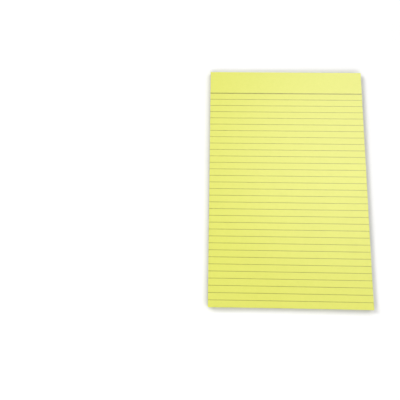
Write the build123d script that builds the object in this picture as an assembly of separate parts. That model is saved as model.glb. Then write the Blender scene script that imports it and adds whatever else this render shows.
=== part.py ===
from build123d import *

import os

# A legal pad: loose yellow leaves, cut square in one stack, on a stiff board of the same outline.
# The only thing that binds them is a film of padding compound, brushed over the head edge of the
# leaves and the board. There is no cover, tape, staple or perforation.
#
# +Z is up, from the board to the writing face, +Y points to the head (the glued edge) and +X to
# the right hand of someone writing. The origin is under the middle of the pad, on the board's
# underside. All lengths are in millimetres.

# Driving dimensions
LEAF_WIDTH = 216.0  # across the ruling
LEAF_LENGTH = 330.0  # from foot to head
LEAF_COUNT = 80
LEAF_CALIPER = 0.075  # thickness of one leaf of 56 g/m2 writing paper, as it lies in the stack
BOARD_THICKNESS = 0.9  # grey chipboard
GLUE_THICKNESS = 0.3  # dried film of padding compound
GLUE_EDGE_RADIUS = 0.2  # the film thins away to a rounded shoulder all round its outer face

# Places that follow from them
stack_height = LEAF_COUNT * LEAF_CALIPER
pad_height = BOARD_THICKNESS + stack_height
pad_length = LEAF_LENGTH + GLUE_THICKNESS
foot_y = -pad_length / 2
head_y = foot_y + LEAF_LENGTH


def sheet_block(bottom_z, thickness):
    """A flat block with the outline of one leaf, standing on bottom_z."""
    outline = Rectangle(LEAF_WIDTH, LEAF_LENGTH, align=(Align.CENTER, Align.MIN))
    return extrude(Pos(0, foot_y, bottom_z) * outline, amount=thickness)


def make_backing_board():
    """The stiff board that the leaves lie on, cut flush with them on all four sides."""
    return sheet_block(0, BOARD_THICKNESS)


def make_leaves():
    """The whole stack of leaves as one closed block."""
    return sheet_block(BOARD_THICKNESS, stack_height)


def make_head_glue():
    """The film over the head edge, as wide and as high as the leaves and board that it holds."""
    film = Pos(0, head_y, 0) * Box(
        LEAF_WIDTH,
        GLUE_THICKNESS,
        pad_height,
        align=(Align.CENTER, Align.MIN, Align.MIN),
    )
    outer_face = film.faces().sort_by(Axis.Y)[-1]
    shoulder = min(GLUE_EDGE_RADIUS, 0.8 * GLUE_THICKNESS)
    return fillet(outer_face.edges(), shoulder)


PARTS = {
    "backing_board": make_backing_board,
    "leaves": make_leaves,
    "head_glue": make_head_glue,
}

os.makedirs("parts", exist_ok=True)
for node, make in PARTS.items():
    part = make()
    part.label = node
    export_step(part, f"parts/{node}.step")
    print(node, "volume", round(part.volume, 1), "mm3, height", round(part.bounding_box().size.Z, 3))
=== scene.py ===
import math
from bisect import bisect
from itertools import accumulate

import bmesh
import bpy
from mathutils import Euler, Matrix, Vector, noise


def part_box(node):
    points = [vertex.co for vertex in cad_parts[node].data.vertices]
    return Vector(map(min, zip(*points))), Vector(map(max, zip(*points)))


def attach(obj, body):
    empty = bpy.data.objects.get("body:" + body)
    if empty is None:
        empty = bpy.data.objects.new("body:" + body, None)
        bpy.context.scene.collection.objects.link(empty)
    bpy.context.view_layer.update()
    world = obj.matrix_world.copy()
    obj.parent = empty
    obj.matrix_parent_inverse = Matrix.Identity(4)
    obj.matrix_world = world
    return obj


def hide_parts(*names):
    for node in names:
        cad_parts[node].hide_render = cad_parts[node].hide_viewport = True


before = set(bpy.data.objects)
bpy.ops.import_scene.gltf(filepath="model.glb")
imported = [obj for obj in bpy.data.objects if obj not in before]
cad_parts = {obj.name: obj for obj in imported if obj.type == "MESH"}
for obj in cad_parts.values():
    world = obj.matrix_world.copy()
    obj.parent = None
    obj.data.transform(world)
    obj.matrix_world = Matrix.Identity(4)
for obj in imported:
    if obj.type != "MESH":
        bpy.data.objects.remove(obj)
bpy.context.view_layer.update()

# ---------------------------------------------------------------- the pad's sizes, in metres
MM = 0.001

LEAVES_LOW, LEAVES_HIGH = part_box("leaves")
BOARD_LOW, BOARD_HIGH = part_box("backing_board")
GLUE_LOW, GLUE_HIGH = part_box("head_glue")
LEAF_WIDTH = LEAVES_HIGH.x - LEAVES_LOW.x
LEAF_LENGTH = LEAVES_HIGH.y - LEAVES_LOW.y
FOOT_Y = LEAVES_LOW.y
HEAD_Y = LEAVES_HIGH.y

LEAF_COUNT = 80
CALIPER = (LEAVES_HIGH.z - LEAVES_LOW.z) / LEAF_COUNT
LOOSE_LEAVES = 12  # the upper leaves, each a sheet of its own
BLOCK_LEAVES = LEAF_COUNT - LOOSE_LEAVES  # the lower ones, pressed together in one block
BLOCK_TOP = LEAVES_LOW.z + BLOCK_LEAVES * CALIPER

# The ruling, the same on both faces of every leaf, runs off the paper on the left and right
HEADER_FROM_HEAD = 32.4 * MM
LINE_PITCH = 9.3 * MM
LINES_UNDER_HEADER = 31
LINE_WIDTH = 0.6 * MM
HEADER_WIDTH = 1.3 * MM
HEADER_Y = HEAD_Y - HEADER_FROM_HEAD
INK_COLOUR = "#777011"

# How the leaves lie: loose at the foot, held at the glued head
SLIP = 0.16 * MM  # how far a leaf has slipped at the foot, at most
JITTER = 0.035 * MM  # and how far it differs from its neighbours
GROOVE = 0.016 * MM  # depth of the groove between the cut edges of two leaves
REST_GAP = 0.006 * MM  # air under each loose leaf at the foot
COCKLE = 0.05 * MM  # ripple of each loose leaf
LEFT_CURL = 2.3 * MM  # lift of the top leaf's foot corners
LEFT_REACH = 78 * MM  # and how far up the leaf each lift starts
RIGHT_CURL = 0.8 * MM
RIGHT_REACH = 60 * MM

# The pieces' own maps, by which an export lays each piece's colours in a square image of its own
MAP_NAME = "OFBake"
MAP_SIZE = 1024  # cells along each side of that image
MAP_GAP = 8  # cells left free between the parts of a map
MAP_INSET = 0.4  # how far inside its outermost cells a part ends, so that it takes no colour from beyond them

# The studio
TENT_LIGHT = 0.4  # the world's strength to everything but the camera
FLOOR_HALF_WIDTH = 6
FLOOR_DROP = 0.01 * MM  # the floor lies this far under the board
FLOOR_LIFT = 0.12  # added to the floor where it is seen, so that it is white beside the pad
LIFT_STARTS = 0.3  # metres from the pad's middle, from where the floor fades to full white
LIFT_ENDS = 1.5
CONTACT_SHADOW = 11 * MM  # how far the shadow in the corner between pad and floor reaches
LAMP_DISTANCE = 2.5


# ---------------------------------------------------------------- small helpers
def srgb(hex_colour):
    """An sRGB hex colour as the linear RGBA that a shader socket takes."""
    parts = [int(hex_colour[i:i + 2], 16) / 255 for i in (1, 3, 5)]
    linear = [p / 12.92 if p <= 0.04045 else ((p + 0.055) / 1.055) ** 2.4 for p in parts]
    return (*linear, 1.0)


def add_node(tree, kind, inputs=None, **settings):
    """Adds a node, sets its settings, and sets or links its inputs."""
    made = tree.nodes.new(kind)
    for name, value in settings.items():
        setattr(made, name, value)
    for socket, value in (inputs or {}).items():
        if isinstance(value, bpy.types.NodeSocket):
            tree.links.new(value, made.inputs[socket])
        else:
            made.inputs[socket].default_value = value
    return made


def new_material(name):
    """An empty node material and its tree."""
    material = bpy.data.materials.new(name)
    material.use_nodes = True
    material.node_tree.nodes.clear()
    return material, material.node_tree


def finish_material(tree, shader):
    """Sends a shader to the material's output."""
    add_node(tree, "ShaderNodeOutputMaterial", {"Surface": shader.outputs[0]})


def per_metre(size):
    """The scale of a pattern whose features are this many metres across."""
    return 1 / size


def toward_foot(y):
    """0 at the glued head, 1 at the foot."""
    return (HEAD_Y - y) / LEAF_LENGTH


# ---------------------------------------------------------------- materials
def mottled_paper(tree):
    """The colour socket of the paper itself: yellow dye, cloudy where the fibres lie thicker."""
    place = add_node(tree, "ShaderNodeTexCoord").outputs["Object"]
    clouds = add_node(
        tree, "ShaderNodeTexNoise",
        {"Vector": place, "Scale": per_metre(5 * MM), "Detail": 3.0, "Roughness": 0.55},
    )
    along = add_node(
        tree, "ShaderNodeMapping",
        {"Vector": place, "Scale": (per_metre(0.35 * MM), per_metre(1.8 * MM), per_metre(1 * MM))},
    )
    fibres = add_node(tree, "ShaderNodeTexNoise", {"Vector": along.outputs[0], "Scale": 1.0, "Detail": 2.0})
    cloudy = add_node(
        tree, "ShaderNodeMix",
        {0: clouds.outputs["Fac"], 6: srgb("#D7DA55"), 7: srgb("#DDDE5D")},
        data_type="RGBA",
    )
    faint = add_node(
        tree, "ShaderNodeMapRange",
        {"Value": fibres.outputs["Fac"], "From Min": 0.25, "From Max": 0.75, "To Min": 0.96, "To Max": 1.03},
    )
    return add_node(
        tree, "ShaderNodeMix",
        {0: 1.0, 6: cloudy.outputs[2], 7: faint.outputs[0]},
        data_type="RGBA", blend_type="MULTIPLY",
    ).outputs[2]


def calendered_surface(tree, colour):
    """The shader that the paper and its ink share: a low, broad sheen over felt marks of about a third of a
    millimetre. Ink this thin sinks in and keeps the paper's surface."""
    place = add_node(tree, "ShaderNodeTexCoord").outputs["Object"]
    felt = add_node(
        tree, "ShaderNodeTexNoise",
        {"Vector": place, "Scale": per_metre(0.35 * MM), "Detail": 2.0, "Roughness": 0.6},
    )
    bump = add_node(
        tree, "ShaderNodeBump", {"Height": felt.outputs["Fac"], "Strength": 0.3, "Distance": 0.01 * MM}
    )
    return add_node(
        tree, "ShaderNodeBsdfPrincipled",
        {
            "Base Color": colour,
            "Roughness": 0.45,
            "IOR": 1.5,
            "Specular IOR Level": 0.3,
            "Normal": bump.outputs[0],
        },
    )


def yellow_bond_paper():
    """Machine-made writing paper, dyed in the pulp and calendered: an even yellow with a faint cloud,
    matte to the eye, with a broad dull sheen where a light lies opposite."""
    material, tree = new_material("yellow_bond_paper")
    finish_material(tree, calendered_surface(tree, mottled_paper(tree)))
    return material


def offset_ruling_ink():
    """Thin blue-grey offset ink on the yellow paper: olive to the eye, and a little starved in places."""
    material, tree = new_material("offset_ruling_ink")
    place = add_node(tree, "ShaderNodeTexCoord").outputs["Object"]
    starved = add_node(
        tree, "ShaderNodeTexNoise",
        {"Vector": place, "Scale": per_metre(6 * MM), "Detail": 4.0, "Roughness": 0.7},
    )
    cover = add_node(
        tree, "ShaderNodeMapRange",
        {"Value": starved.outputs["Fac"], "From Min": 0.3, "From Max": 0.7, "To Min": 0.84, "To Max": 1.0},
    )
    colour = add_node(
        tree, "ShaderNodeMix",
        {0: cover.outputs[0], 6: mottled_paper(tree), 7: srgb(INK_COLOUR)},
        data_type="RGBA",
    )
    finish_material(tree, calendered_surface(tree, colour.outputs[2]))
    return material


def guillotined_paper_edge():
    """The cut edges of the leaves: the same dyed pulp, darker in bands of painted shade between the leaves,
    mixed with each leaf's own slight tone. The leaves show as long thin layers, drawn about ten times as
    thick as a leaf so that they can be seen, with faint upright marks of the knife and a ragged tick of ink
    where each ruled line runs off."""
    material, tree = new_material("guillotined_paper_edge")
    place = add_node(tree, "ShaderNodeTexCoord").outputs["Object"]
    layered = add_node(
        tree, "ShaderNodeMapping",
        {"Vector": place, "Scale": (per_metre(60 * MM), per_metre(60 * MM), per_metre(0.8 * MM))},
    )
    layers = add_node(
        tree, "ShaderNodeTexNoise",
        {"Vector": layered.outputs[0], "Scale": 1.0, "Detail": 4.0, "Roughness": 0.65},
    )
    upright = add_node(
        tree, "ShaderNodeMapping",
        {"Vector": place, "Scale": (per_metre(1.6 * MM), per_metre(1.6 * MM), per_metre(30 * MM))},
    )
    marks = add_node(tree, "ShaderNodeTexNoise", {"Vector": upright.outputs[0], "Scale": 1.0, "Detail": 3.0})
    # Painted shade: the darker bands stand for the shade between the leaves, mixed with each leaf's own
    # slight tone
    layer_tone_and_shade = add_node(
        tree, "ShaderNodeMapRange", {"Value": layers.outputs["Fac"], "From Min": 0.36, "From Max": 0.64}
    )
    paper = add_node(
        tree, "ShaderNodeMix",
        {0: layer_tone_and_shade.outputs[0], 6: srgb("#B7B445"), 7: srgb("#E9E87C")},
        data_type="RGBA",
    )
    knife = add_node(
        tree, "ShaderNodeMapRange",
        {"Value": marks.outputs["Fac"], "From Min": 0.3, "From Max": 0.7, "To Min": 0.93, "To Max": 1.03},
    )
    scored = add_node(
        tree, "ShaderNodeMix",
        {0: 1.0, 6: paper.outputs[2], 7: knife.outputs[0]},
        data_type="RGBA", blend_type="MULTIPLY",
    )
    # The distance to the nearest ruled line, counted down the leaf from the header line
    y = add_node(tree, "ShaderNodeSeparateXYZ", {0: place}).outputs["Y"]
    down = add_node(tree, "ShaderNodeMath", {0: HEADER_Y, 1: y}, operation="SUBTRACT").outputs[0]
    nearest = add_node(tree, "ShaderNodeMath", {0: down, 1: LINE_PITCH / 2}, operation="PINGPONG")
    tick = add_node(
        tree, "ShaderNodeMapRange",
        {"Value": nearest.outputs[0], "From Min": 0.9 * LINE_WIDTH, "From Max": 0.3 * LINE_WIDTH},
    )
    bled = add_node(
        tree, "ShaderNodeMapRange",
        {"Value": layers.outputs["Fac"], "From Min": 0.4, "From Max": 0.6, "To Min": 0.08, "To Max": 0.4},
    )
    past_header = add_node(tree, "ShaderNodeMath", {0: down, 1: -LINE_PITCH / 2}, operation="GREATER_THAN")
    before_end = add_node(
        tree, "ShaderNodeMath", {0: down, 1: (LINES_UNDER_HEADER + 0.5) * LINE_PITCH}, operation="LESS_THAN"
    )
    inked = bled.outputs[0]
    for limit in (past_header, before_end, tick):
        within = add_node(tree, "ShaderNodeMath", {0: inked, 1: limit.outputs[0]}, operation="MULTIPLY")
        inked = within.outputs[0]
    colour = add_node(
        tree, "ShaderNodeMix",
        {0: inked, 6: scored.outputs[2], 7: srgb(INK_COLOUR)},
        data_type="RGBA",
    )
    bump = add_node(
        tree, "ShaderNodeBump",
        {"Height": layers.outputs["Fac"], "Strength": 0.6, "Distance": 0.06 * MM},
    )
    shader = add_node(
        tree, "ShaderNodeBsdfPrincipled",
        {"Base Color": colour.outputs[2], "Roughness": 0.75, "IOR": 1.5, "Normal": bump.outputs[0]},
    )
    finish_material(tree, shader)
    return material


def grey_chipboard():
    """Uncoated board, pressed from waste paper: a warm grey full of darker and paler fibre flecks, dead
    matte, with layers showing at its cut edge."""
    material, tree = new_material("grey_chipboard")
    place = add_node(tree, "ShaderNodeTexCoord").outputs["Object"]
    pulp = add_node(
        tree, "ShaderNodeTexNoise",
        {"Vector": place, "Scale": per_metre(9 * MM), "Detail": 5.0, "Roughness": 0.6},
    )
    base = add_node(
        tree, "ShaderNodeMix",
        {0: pulp.outputs["Fac"], 6: srgb("#8A8175"), 7: srgb("#A59C8E")},
        data_type="RGBA",
    )
    laid = add_node(
        tree, "ShaderNodeMapping",
        {"Vector": place, "Scale": (per_metre(0.5 * MM), per_metre(1.4 * MM), per_metre(0.18 * MM))},
    )
    fibres = add_node(tree, "ShaderNodeTexNoise", {"Vector": laid.outputs[0], "Scale": 1.0, "Detail": 2.0})
    dark = add_node(
        tree, "ShaderNodeMapRange",
        {"Value": fibres.outputs["Fac"], "From Min": 0.36, "From Max": 0.28, "To Max": 0.55},
    )
    flecked = add_node(
        tree, "ShaderNodeMix",
        {0: dark.outputs[0], 6: base.outputs[2], 7: srgb("#5C554C")},
        data_type="RGBA",
    )
    pale = add_node(
        tree, "ShaderNodeMapRange",
        {"Value": fibres.outputs["Fac"], "From Min": 0.64, "From Max": 0.74, "To Max": 0.6},
    )
    colour = add_node(
        tree, "ShaderNodeMix",
        {0: pale.outputs[0], 6: flecked.outputs[2], 7: srgb("#C9C2B4")},
        data_type="RGBA",
    )
    bump = add_node(
        tree, "ShaderNodeBump",
        {"Height": fibres.outputs["Fac"], "Strength": 0.5, "Distance": 0.04 * MM},
    )
    shader = add_node(
        tree, "ShaderNodeBsdfPrincipled",
        {"Base Color": colour.outputs[2], "Roughness": 0.9, "IOR": 1.5, "Normal": bump.outputs[0]},
    )
    finish_material(tree, shader)
    return material


def dried_padding_compound():
    """White padding glue, brushed on and dried to a satin, half-clear film: the yellow edges show through
    where it is thin, it is milky where the brush left it thick, and the board shows grey under its foot."""
    material, tree = new_material("dried_padding_compound")
    place = add_node(tree, "ShaderNodeTexCoord").outputs["Object"]
    streaked = add_node(
        tree, "ShaderNodeMapping",
        {"Vector": place, "Scale": (per_metre(22 * MM), per_metre(5 * MM), per_metre(0.9 * MM))},
    )
    strokes = add_node(
        tree, "ShaderNodeTexNoise",
        {"Vector": streaked.outputs[0], "Scale": 1.0, "Detail": 4.0, "Roughness": 0.6},
    )
    thick = add_node(
        tree, "ShaderNodeMapRange", {"Value": strokes.outputs["Fac"], "From Min": 0.35, "From Max": 0.68}
    )
    over_leaves = add_node(
        tree, "ShaderNodeMix",
        {0: thick.outputs[0], 6: srgb("#D8D46A"), 7: srgb("#E9E7BE")},
        data_type="RGBA",
    )
    over_board = add_node(
        tree, "ShaderNodeMix",
        {0: thick.outputs[0], 6: srgb("#A79F84"), 7: srgb("#CFCBB4")},
        data_type="RGBA",
    )
    z = add_node(tree, "ShaderNodeSeparateXYZ", {0: place}).outputs["Z"]
    above = add_node(
        tree, "ShaderNodeMapRange",
        {"Value": z, "From Min": BOARD_HIGH.z - 0.1 * MM, "From Max": BOARD_HIGH.z + 0.1 * MM},
    )
    colour = add_node(
        tree, "ShaderNodeMix",
        {0: above.outputs[0], 6: over_board.outputs[2], 7: over_leaves.outputs[2]},
        data_type="RGBA",
    )
    dulled = add_node(
        tree, "ShaderNodeMapRange", {"Value": strokes.outputs["Fac"], "To Min": 0.5, "To Max": 0.28}
    )
    bump = add_node(
        tree, "ShaderNodeBump",
        {"Height": strokes.outputs["Fac"], "Strength": 0.4, "Distance": 0.06 * MM},
    )
    shader = add_node(
        tree, "ShaderNodeBsdfPrincipled",
        {
            "Base Color": colour.outputs[2],
            "Roughness": dulled.outputs[0],
            "IOR": 1.48,
            "Normal": bump.outputs[0],
        },
    )
    finish_material(tree, shader)
    return material


# ---------------------------------------------------------------- pieces
def new_piece(name, bm, materials):
    """Makes an object of a finished bmesh, at the origin, and lets it ride with the pad."""
    mesh = bpy.data.meshes.new(name)
    bmesh.ops.recalc_face_normals(bm, faces=bm.faces)
    bm.to_mesh(mesh)
    bm.free()
    for material in materials:
        mesh.materials.append(material)
    piece = bpy.data.objects.new(name, mesh)
    bpy.context.scene.collection.objects.link(piece)
    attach(piece, "root")
    return piece


def slip(rank):
    """How far a leaf lies off the true outline at the foot, sideways and lengthways. rank counts up from
    the board. The stack leans in slow swells, and each leaf differs a little from its neighbours."""

    def drift(swell, swell_lane, flutter, flutter_lane):
        slow = noise.noise(Vector((swell * rank, swell_lane, 0)))
        quick = noise.noise(Vector((flutter * rank, flutter_lane, 0)))
        return SLIP * slow + JITTER * quick

    return Vector((drift(0.09, 3.7, 1.9, 8.1), drift(0.07, 21.3, 2.3, 5.9), 0))


def ruling_bands():
    """The lowest and highest y of each printed line, the header line first."""
    for number in range(LINES_UNDER_HEADER + 1):
        middle = HEADER_Y - number * LINE_PITCH
        half = (LINE_WIDTH if number else HEADER_WIDTH) / 2
        yield middle - half, middle + half


def map_leaf(bm, bands):
    """Lays out a flat leaf's map: its two faces side by side, above them their printed lines, and above
    those the four cut edges. Lines and edges are opened up. Every strip is a whole number of cells high, so
    that each line keeps its width in an image as coarse as this."""
    scale = 2.3 / MM  # cells to a metre
    line_height = 5
    edge_height = 10
    rims = [FOOT_Y, *(y for band in reversed(bands) for y in band), HEAD_Y]
    heights = [round((high - low) * scale) for low, high in zip(rims, rims[1:])]
    heights[1::2] = [line_height] * len(bands)
    paper_lows = list(accumulate(heights[0::2], initial=MAP_GAP))
    line_lows = list(accumulate(heights[1::2], initial=paper_lows[-1] + MAP_GAP))
    edges_low = line_lows[-1] + MAP_GAP
    layer = bm.loops.layers.uv.new(MAP_NAME)
    for face in bm.faces:
        middle = face.calc_center_median()
        facing = 1 if middle.z > CALIPER / 2 else -1
        strip = bisect(rims, middle.y) - 1
        lengthways = abs(face.normal.x) > 0.5
        side = lengthways + 2 * (face.normal.x + face.normal.y > 0)
        for loop in face.loops:
            x, y, z = loop.vert.co
            if face.material_index < 2:
                u = MAP_SIZE / 2 + facing * ((x - LEAF_WIDTH / 2) * scale - MAP_GAP / 2)
                low = (paper_lows, line_lows)[strip % 2][strip // 2]
                height = heights[strip]
                part = (y - rims[strip]) / (rims[strip + 1] - rims[strip])
            else:
                u = MAP_GAP + (y - FOOT_Y if lengthways else x + LEAF_WIDTH / 2) * scale
                low = edges_low + side * (edge_height + MAP_GAP / 2)
                height = edge_height
                part = z / CALIPER
            v = low + MAP_INSET + part * (height - 2 * MAP_INSET)
            loop[layer].uv = (u / MAP_SIZE, v / MAP_SIZE)


def map_block(bm):
    """Lays out the block's map: its four sides as rows, opened up to show every leaf, and above them, at a
    smaller scale, the two faces that nobody sees."""
    scale = 3 / MM
    small_scale = 0.8 / MM
    side_height = 180
    pitch = side_height + MAP_GAP
    layer = bm.loops.layers.uv.new(MAP_NAME)
    for face in bm.faces:
        upper = face.normal.z > 0.5
        unseen = abs(face.normal.z) > 0.5
        lengthways = abs(face.normal.x) > 0.5
        side = lengthways + 2 * (face.normal.x + face.normal.y > 0)
        for loop in face.loops:
            x, y, z = loop.vert.co
            if unseen:
                u = MAP_GAP + (y - FOOT_Y) * small_scale + upper * MAP_SIZE / 2
                v = 4 * pitch + (x + LEAF_WIDTH / 2) * small_scale
            else:
                height = (z - LEAVES_LOW.z) / (BLOCK_TOP - LEAVES_LOW.z)
                u = MAP_GAP + (y - FOOT_Y if lengthways else x + LEAF_WIDTH / 2) * scale
                v = MAP_GAP / 2 + side * pitch + side_height * height
            loop[layer].uv = (u / MAP_SIZE, v / MAP_SIZE)


def ruled_leaf():
    """One flat leaf, from z = 0 up, whose faces are cut along both edges of each printed line. Its cells
    are fine enough for the ripple and the lifted corners."""
    columns = 36
    rows = 24
    bm = bmesh.new()
    bmesh.ops.create_grid(bm, x_segments=columns, y_segments=rows, size=0.5)
    bmesh.ops.scale(bm, vec=(LEAF_WIDTH, LEAF_LENGTH, 1), verts=bm.verts)
    bmesh.ops.translate(bm, vec=(0, (FOOT_Y + HEAD_Y) / 2, 0), verts=bm.verts)
    bands = list(ruling_bands())
    for edge_y in [y for band in bands for y in band]:
        bmesh.ops.bisect_plane(
            bm, geom=bm.verts[:] + bm.edges[:] + bm.faces[:], plane_co=(0, edge_y, 0), plane_no=(0, 1, 0)
        )
    raised = bmesh.ops.extrude_face_region(bm, geom=bm.faces[:])["geom"]
    upper = [v for v in raised if isinstance(v, bmesh.types.BMVert)]
    bmesh.ops.translate(bm, vec=(0, 0, CALIPER), verts=upper)
    bmesh.ops.recalc_face_normals(bm, faces=bm.faces)
    for face in bm.faces:
        y = face.calc_center_median().y
        face.smooth = abs(face.normal.z) > 0.5
        face.material_index = int(any(low < y < high for low, high in bands)) if face.smooth else 2
    map_leaf(bm, bands)
    return bm


def air_under(rank, x, y):
    """The air between a loose leaf and the one below. rank is 0 on the lowest loose leaf."""
    foot = toward_foot(y)
    share = (rank + 1) ** 2 / sum((n + 1) ** 2 for n in range(LOOSE_LEAVES))
    left = max(0, 1 - math.hypot(x + LEAF_WIDTH / 2, y - FOOT_Y) / LEFT_REACH)
    right = max(0, 1 - math.hypot(x - LEAF_WIDTH / 2, y - FOOT_Y) / RIGHT_REACH)
    curl = share * (LEFT_CURL * left ** 2 + RIGHT_CURL * right ** 2)
    ripple = 0.5 + 0.5 * noise.noise(Vector((x / (70 * MM), y / (95 * MM), 4.3 * rank)))
    return REST_GAP * foot + COCKLE * foot * ripple ** 2 + curl


def make_loose_leaves(paper, ink, edge):
    """The upper leaves, from the lowest up, each lying on the one below."""
    flat = ruled_leaf()
    heights = [BLOCK_TOP + vertex.co.z for vertex in flat.verts]
    for rank in range(LOOSE_LEAVES):
        bm = flat.copy()
        lean = slip(BLOCK_LEAVES + rank)
        for number, vertex in enumerate(bm.verts):
            x, y, _ = vertex.co
            heights[number] += air_under(rank, x, y)
            vertex.co.z = heights[number]
            heights[number] += CALIPER
            vertex.co += lean * toward_foot(y)
        leaf = new_piece(f"loose_leaf_{rank + 1:02d}", bm, [paper, ink, edge])
        leaf.data.set_sharp_from_angle(angle=math.radians(40))
    flat.free()


def make_leaf_block(edge):
    """The lower leaves, pressed together: one block whose four sides show every leaf's cut edge."""
    levels = 4  # steps up a leaf: out of the groove under it, two up its cut edge, and into the next groove
    cells = 60  # along each side
    bm = bmesh.new()
    corners = [
        bm.verts.new((x, y, LEAVES_LOW.z))
        for x, y in (
            (LEAVES_LOW.x, FOOT_Y), (LEAVES_HIGH.x, FOOT_Y), (LEAVES_HIGH.x, HEAD_Y), (LEAVES_LOW.x, HEAD_Y)
        )
    ]
    for number, corner in enumerate(corners):
        bm.edges.new((corner, corners[(number + 1) % len(corners)]))
    bmesh.ops.subdivide_edges(bm, edges=bm.edges[:], cuts=cells - 1)
    ring = bm.edges[:]
    ends = bmesh.ops.edgeloop_fill(bm, edges=ring)["faces"]
    for _ in range(BLOCK_LEAVES):
        for rise in (1, levels - 2, 1):
            raised = bmesh.ops.extrude_edge_only(bm, edges=ring)["geom"]
            ring = [e for e in raised if isinstance(e, bmesh.types.BMEdge)]
            verts = [v for v in raised if isinstance(v, bmesh.types.BMVert)]
            bmesh.ops.translate(bm, vec=(0, 0, rise * CALIPER / levels), verts=verts)
    ends += bmesh.ops.edgeloop_fill(bm, edges=ring)["faces"]
    bmesh.ops.poke(bm, faces=ends)
    bmesh.ops.recalc_face_normals(bm, faces=bm.faces)
    map_block(bm)
    for vertex in bm.verts:
        level = round((vertex.co.z - LEAVES_LOW.z) / (CALIPER / levels))
        rank, in_groove = level // levels, level % levels == 0
        lean = slip(rank)
        if in_groove:
            lean = (lean + slip(rank - 1)) / 2
            for axis, low, high in ((0, LEAVES_LOW.x, LEAVES_HIGH.x), (1, FOOT_Y, HEAD_Y)):
                if vertex.co[axis] < low + CALIPER:
                    vertex.co[axis] += GROOVE
                elif vertex.co[axis] > high - CALIPER:
                    vertex.co[axis] -= GROOVE
        vertex.co += lean * max(0, toward_foot(vertex.co.y))
    block = new_piece("leaf_block", bm, [edge])
    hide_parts("leaves")


def make_glue_film(compound):
    """The dried film over the head edge, brushed along the pad: thicker along some strokes than others,
    rounded off at its rim, with its back flat against the leaves and the board."""
    height = GLUE_HIGH.z - GLUE_LOW.z
    thickness = GLUE_HIGH.y - GLUE_LOW.y
    shoulder = 0.7 * MM  # how far in from the rim the film is rounded
    rim_share = 0.35  # how thick it still is at the rim itself
    even, brushed, blobbed = 0.8, 0.22, 0.12  # shares of the thickness
    bm = bmesh.new()
    bmesh.ops.create_grid(bm, x_segments=216, y_segments=14, size=0.5)
    bmesh.ops.scale(bm, vec=(LEAF_WIDTH, height, 1), verts=bm.verts)
    upright = Euler((math.radians(90), 0, 0)).to_matrix()
    bmesh.ops.rotate(bm, cent=(0, 0, 0), matrix=upright, verts=bm.verts)
    bmesh.ops.translate(bm, vec=(0, GLUE_LOW.y, (GLUE_LOW.z + GLUE_HIGH.z) / 2), verts=bm.verts)
    outer = bmesh.ops.extrude_face_region(bm, geom=bm.faces[:])["geom"]
    for vertex in (v for v in outer if isinstance(v, bmesh.types.BMVert)):
        x, _, z = vertex.co
        stroke = noise.noise(Vector((x / (30 * MM), 0, z / (1.3 * MM))))
        blob = noise.noise(Vector((x / (9 * MM), 7, z / (3 * MM))))
        from_rim = min(LEAF_WIDTH / 2 - abs(x), z - GLUE_LOW.z, GLUE_HIGH.z - z)
        inward = min(1, max(0, from_rim / shoulder))
        rounding = math.sqrt(1 - (1 - inward) ** 2)
        share = rim_share + (1 - rim_share) * rounding
        vertex.co.y += thickness * share * (even + brushed * stroke + blobbed * blob)
    for face in bm.faces:
        face.smooth = True
    film = new_piece("glue_film", bm, [compound])
    film.data.set_sharp_from_angle(angle=math.radians(50))
    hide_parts("head_glue")


# ---------------------------------------------------------------- studio
def make_floor():
    """A white sweep that takes the pad's shadow and shows white to the camera and in reflections."""
    material, tree = new_material("matte_white_sweep")
    path = add_node(tree, "ShaderNodeLightPath")
    seen = add_node(
        tree, "ShaderNodeMath", {0: path.outputs["Is Camera Ray"], 1: path.outputs["Is Glossy Ray"]},
        operation="MAXIMUM",
    )
    seen_through = add_node(
        tree, "ShaderNodeMath", {0: seen.outputs[0], 1: path.outputs["Is Transmission Ray"]},
        operation="MAXIMUM",
    )
    place = add_node(tree, "ShaderNodeTexCoord").outputs["Object"]
    away = add_node(tree, "ShaderNodeVectorMath", {0: place}, operation="LENGTH")
    whiter = add_node(
        tree, "ShaderNodeMapRange",
        {
            "Value": away.outputs["Value"],
            "From Min": LIFT_STARTS,
            "From Max": LIFT_ENDS,
            "To Min": FLOOR_LIFT,
            "To Max": 1.0,
        },
    )
    lift = add_node(
        tree, "ShaderNodeMath", {0: seen_through.outputs[0], 1: whiter.outputs[0]}, operation="MULTIPLY"
    )
    # The contact shadow, drawn a little deeper all round than so soft a light leaves it
    nook = add_node(
        tree, "ShaderNodeAmbientOcclusion", {"Color": srgb("#F3F3F3"), "Distance": CONTACT_SHADOW}, samples=16
    )
    paint = add_node(tree, "ShaderNodeBsdfDiffuse", {"Color": nook.outputs["Color"]})
    glow = add_node(tree, "ShaderNodeEmission", {"Strength": lift.outputs[0]})
    finish_material(tree, add_node(tree, "ShaderNodeAddShader", {0: paint.outputs[0], 1: glow.outputs[0]}))
    bm = bmesh.new()
    bmesh.ops.create_grid(bm, x_segments=1, y_segments=1, size=FLOOR_HALF_WIDTH)
    bmesh.ops.translate(bm, vec=(0, 0, BOARD_LOW.z - FLOOR_DROP), verts=bm.verts)
    mesh = bpy.data.meshes.new("floor")
    bm.to_mesh(mesh)
    bm.free()
    mesh.materials.append(material)
    floor = bpy.data.objects.new("floor", mesh)
    bpy.context.scene.collection.objects.link(floor)


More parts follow.
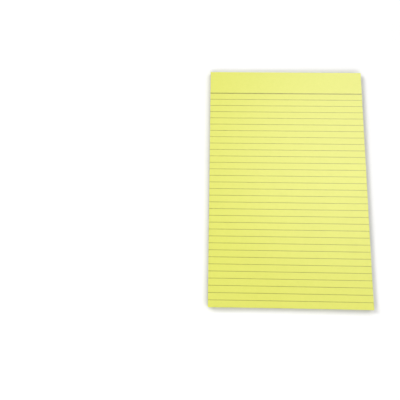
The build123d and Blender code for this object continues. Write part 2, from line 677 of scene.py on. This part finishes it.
def make_world():
    """Even white light from all round, as in a light tent. The backdrop shows white."""
    world = bpy.data.worlds.new("light_tent")
    world.use_nodes = True
    tree = world.node_tree
    tree.nodes.clear()
    path = add_node(tree, "ShaderNodeLightPath")
    strength = add_node(
        tree, "ShaderNodeMapRange",
        {"Value": path.outputs["Is Camera Ray"], "To Min": TENT_LIGHT, "To Max": 1.0},
    )
    sky = add_node(tree, "ShaderNodeBackground", {"Color": (1, 1, 1, 1), "Strength": strength.outputs[0]})
    add_node(tree, "ShaderNodeOutputWorld", {"Surface": sky.outputs[0]})
    bpy.context.scene.world = world


def make_lamp(name, azimuth, elevation, size, watts):
    """A square soft box, size metres wide, that faces the pad. Its angles are in degrees, and azimuth
    counts round from the pad's right towards its head."""
    light = bpy.data.lights.new(name, "AREA")
    light.shape = "SQUARE"
    light.size = size
    light.energy = watts
    lamp = bpy.data.objects.new(name, light)
    out = Vector((LAMP_DISTANCE, 0, 0))
    out.rotate(Euler((0, -math.radians(elevation), math.radians(azimuth))))
    lamp.location = out
    lamp.rotation_euler = out.to_track_quat("Z", "Y").to_euler()
    bpy.context.scene.collection.objects.link(lamp)
    return lamp


def make_camera():
    """Held by hand above the left edge of the pad, a little nearer to its foot, and tipped to the head."""
    data = bpy.data.cameras.new("camera")
    data.lens = 31.5
    data.sensor_width = 36
    camera = bpy.data.objects.new("camera", data)
    middle = Vector((0, (FOOT_Y + HEAD_Y) / 2, LEAVES_HIGH.z))
    camera.location = middle + Vector((-111.4, -94.8, 475.5)) * MM
    camera.rotation_euler = Euler([math.radians(a) for a in (8.58, 0.97, 0.92)])
    bpy.context.scene.collection.objects.link(camera)
    bpy.context.scene.camera = camera


bpy.context.scene.view_settings.view_transform = "Standard"
make_camera()
make_world()
make_floor()
make_lamp("key_softbox", azimuth=152, elevation=38, size=1.1, watts=42)
make_lamp("foot_softbox", azimuth=270, elevation=38, size=1.1, watts=28)
sheen_card = make_lamp("sheen_card", azimuth=38, elevation=60.5, size=1.8, watts=138)
sheen_card.visible_diffuse = False  # it only gives the paper its dull sheen

paper, ink, edge = yellow_bond_paper(), offset_ruling_ink(), guillotined_paper_edge()
make_leaf_block(edge)
make_loose_leaves(paper, ink, edge)
make_glue_film(dried_padding_compound())
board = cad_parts["backing_board"]
board.data.materials.clear()
board.data.materials.append(grey_chipboard())
